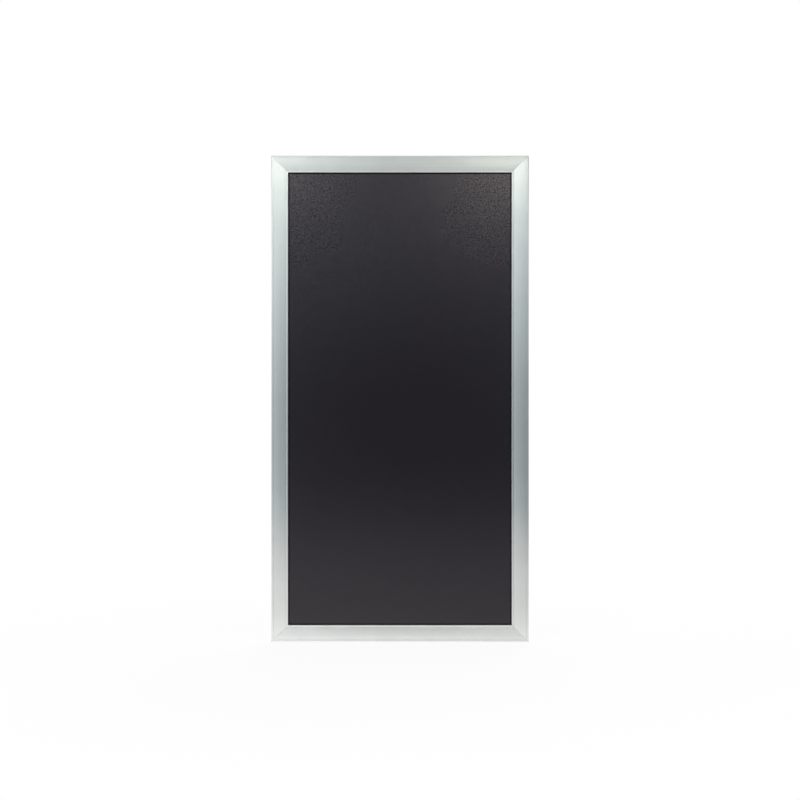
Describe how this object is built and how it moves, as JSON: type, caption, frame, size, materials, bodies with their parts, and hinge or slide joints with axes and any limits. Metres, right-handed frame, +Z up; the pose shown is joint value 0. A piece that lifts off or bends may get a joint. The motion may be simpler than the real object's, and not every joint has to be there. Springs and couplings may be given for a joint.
{
  "type": "chalkboard",
  "caption": "Wall-hung upright chalkboard: black writing panel in a mitred, convex-faced aluminium frame with a rear hardware channel and swinging D-ring hangers.",
  "frame": {"origin": "the middle of the board in the wall plane, where the bumpers' flat faces touch the wall", "axes": "+X across the board to the right as seen from the writing side, +Z up, +Y into the wall; the writing side faces -Y"},
  "size_m": [0.45, 0.025, 0.85],
  "materials": {
    "frame_aluminium": "satin anodised",
    "chalk_lacquer": "fine matt",
    "fibreboard_core": "pressed fibre",
    "balance_paper": "matt",
    "gasket_rubber": "matt",
    "bumper_rubber": "matt",
    "spring_steel": "rolled",
    "zinc_steel": "zinc plated"
  },
  "bodies": {
    "board": {"balance_sheet": "balance_paper", "core_board": "fibreboard_core", "corner_key_bottom_left": "zinc_steel", "corner_key_bottom_right": "zinc_steel", "corner_key_top_left": "zinc_steel", "corner_key_top_right": "zinc_steel", "corner_press_plate_bottom_left": "zinc_steel", "corner_press_plate_bottom_right": "zinc_steel", "corner_press_plate_top_left": "zinc_steel", "corner_press_plate_top_right": "zinc_steel", "corner_screw_bottom_left_1": "zinc_steel", "corner_screw_bottom_left_2": "zinc_steel", "corner_screw_bottom_right_1": "zinc_steel", "corner_screw_bottom_right_2": "zinc_steel", "corner_screw_top_left_1": "zinc_steel", "corner_screw_top_left_2": "zinc_steel", "corner_screw_top_right_1": "zinc_steel", "corner_screw_top_right_2": "zinc_steel", "gasket_bottom": "gasket_rubber", "gasket_left": "gasket_rubber", "gasket_right": "gasket_rubber", "gasket_top": "gasket_rubber", "hanger_nut_left": "zinc_steel", "hanger_nut_right": "zinc_steel", "hanger_screw_left_1": "zinc_steel", "hanger_screw_left_2": "zinc_steel", "hanger_screw_right_1": "zinc_steel", "hanger_screw_right_2": "zinc_steel", "hanger_strap_left": "zinc_steel", "hanger_strap_right": "zinc_steel", "rail_bottom": "frame_aluminium", "rail_top": "frame_aluminium", "retaining_spring_bottom_1": "spring_steel", "retaining_spring_bottom_2": "spring_steel", "retaining_spring_left_1": "spring_steel", "retaining_spring_left_2": "spring_steel", "retaining_spring_left_3": "spring_steel", "retaining_spring_right_1": "spring_steel", "retaining_spring_right_2": "spring_steel", "retaining_spring_right_3": "spring_steel", "retaining_spring_top_1": "spring_steel", "retaining_spring_top_2": "spring_steel", "stile_left": "frame_aluminium", "stile_right": "frame_aluminium", "wall_bumper_bottom_left": "bumper_rubber", "wall_bumper_bottom_right": "bumper_rubber", "wall_bumper_top_left": "bumper_rubber", "wall_bumper_top_right": "bumper_rubber", "writing_sheet": "chalk_lacquer"},
    "left_ring": {"hanger_ring_left": "zinc_steel"},
    "right_ring": {"hanger_ring_right": "zinc_steel"}
  },
  "joints": [
    {"name": "left_ring_swing", "type": "hinge", "parent": "board", "child": "left_ring", "pos_m": [-0.2169, -0.0027, 0.275], "axis": [1, 0, 0], "range_deg": [0, 180]},
    {"name": "right_ring_swing", "type": "hinge", "parent": "board", "child": "right_ring", "pos_m": [0.2169, -0.0027, 0.275], "axis": [1, 0, 0], "range_deg": [0, 180]}
  ]
}
